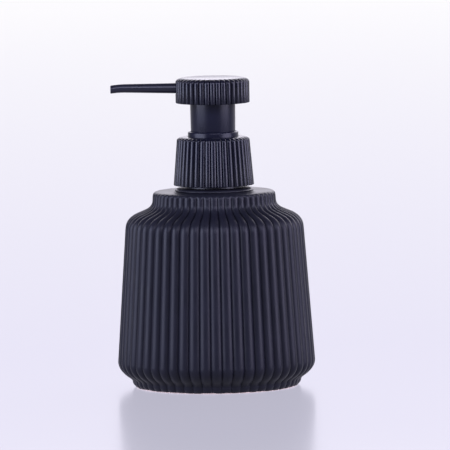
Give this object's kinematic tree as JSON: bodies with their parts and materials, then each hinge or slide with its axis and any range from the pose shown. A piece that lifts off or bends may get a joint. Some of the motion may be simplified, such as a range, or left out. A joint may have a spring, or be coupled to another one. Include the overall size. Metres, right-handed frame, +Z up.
{
  "type": "soap pump dispenser",
  "caption": "Ribbed black stoneware bottle with a tapered body and stepped foot, under a lotion pump with a ribbed screw closure, ribbed push head and thin side spout.",
  "frame": {"origin": "on the bottle's axis, at the plane that the bottle stands on", "axes": "+Z up along the bottle's axis; the spout points along -X at rest; +Y away from the viewer"},
  "size_m": [0.0937, 0.092, 0.1442],
  "materials": {
    "glazed_stoneware": "satin black glaze over a pale clay body",
    "black_plastic": "satin moulded ABS",
    "dark_insert_plastic": "moulded polypropylene",
    "natural_plastic": "natural translucent polypropylene",
    "epoxy": "cured epoxy bead",
    "foam_gasket": "polyethylene foam",
    "steel": "drawn and polished stainless steel"
  },
  "bodies": {
    "bottle": {"ceramic_bottle": "glazed_stoneware", "neck_insert": "dark_insert_plastic", "neck_adhesive": "epoxy"},
    "gasket": {"gasket": "foam_gasket"},
    "pump_body": {"pump_housing": "natural_plastic", "guide_ring": "black_plastic", "ball_cage": "natural_plastic", "dip_tube": "natural_plastic", "return_spring": "steel"},
    "closure": {"closure_shell": "black_plastic", "closure_liner": "dark_insert_plastic"},
    "piston": {"piston_seal": "natural_plastic"},
    "head": {"piston_body": "natural_plastic", "stem": "natural_plastic", "actuator": "black_plastic", "spout": "black_plastic", "head_shell": "black_plastic"},
    "inlet_ball": {"inlet_ball": "steel"},
    "outlet_ball": {"outlet_ball": "steel"}
  },
  "joints": [
    {"name": "pump_lift_out", "type": "slide", "parent": "bottle", "child": "gasket", "axis": [0, 0, 1], "range_m": [0, 0.1]},
    {"name": "unscrew_rise", "type": "slide", "parent": "gasket", "child": "pump_body", "axis": [0, 0, 1], "range_m": [0, 0.00424]},
    {"name": "closure_turn", "type": "hinge", "parent": "pump_body", "child": "closure", "pos_m": [0, 0, 0.1], "axis": [0, 0, 1], "range_deg": [0, 360]},
    {"name": "pump_press", "type": "slide", "parent": "pump_body", "child": "piston", "axis": [0, 0, 1], "range_m": [-0.0118, 0], "stiffness_N_per_m": 300, "springref_m": 0.012, "deforming": ["return_spring"]},
    {"name": "head_turn", "type": "hinge", "parent": "piston", "child": "head", "pos_m": [0, 0, 0.13], "axis": [0, 0, 1], "continuous": true},
    {"name": "inlet_ball_lift", "type": "slide", "parent": "pump_body", "child": "inlet_ball", "axis": [0, 0, 1], "range_m": [0, 0.0016]},
    {"name": "outlet_ball_lift", "type": "slide", "parent": "head", "child": "outlet_ball", "axis": [0, 0, 1], "range_m": [0, 0.0015]}
  ],
  "couplings": [
    {"joint": "unscrew_rise", "follows": "closure_turn", "m_per_rad": 0.00067375}
  ]
}
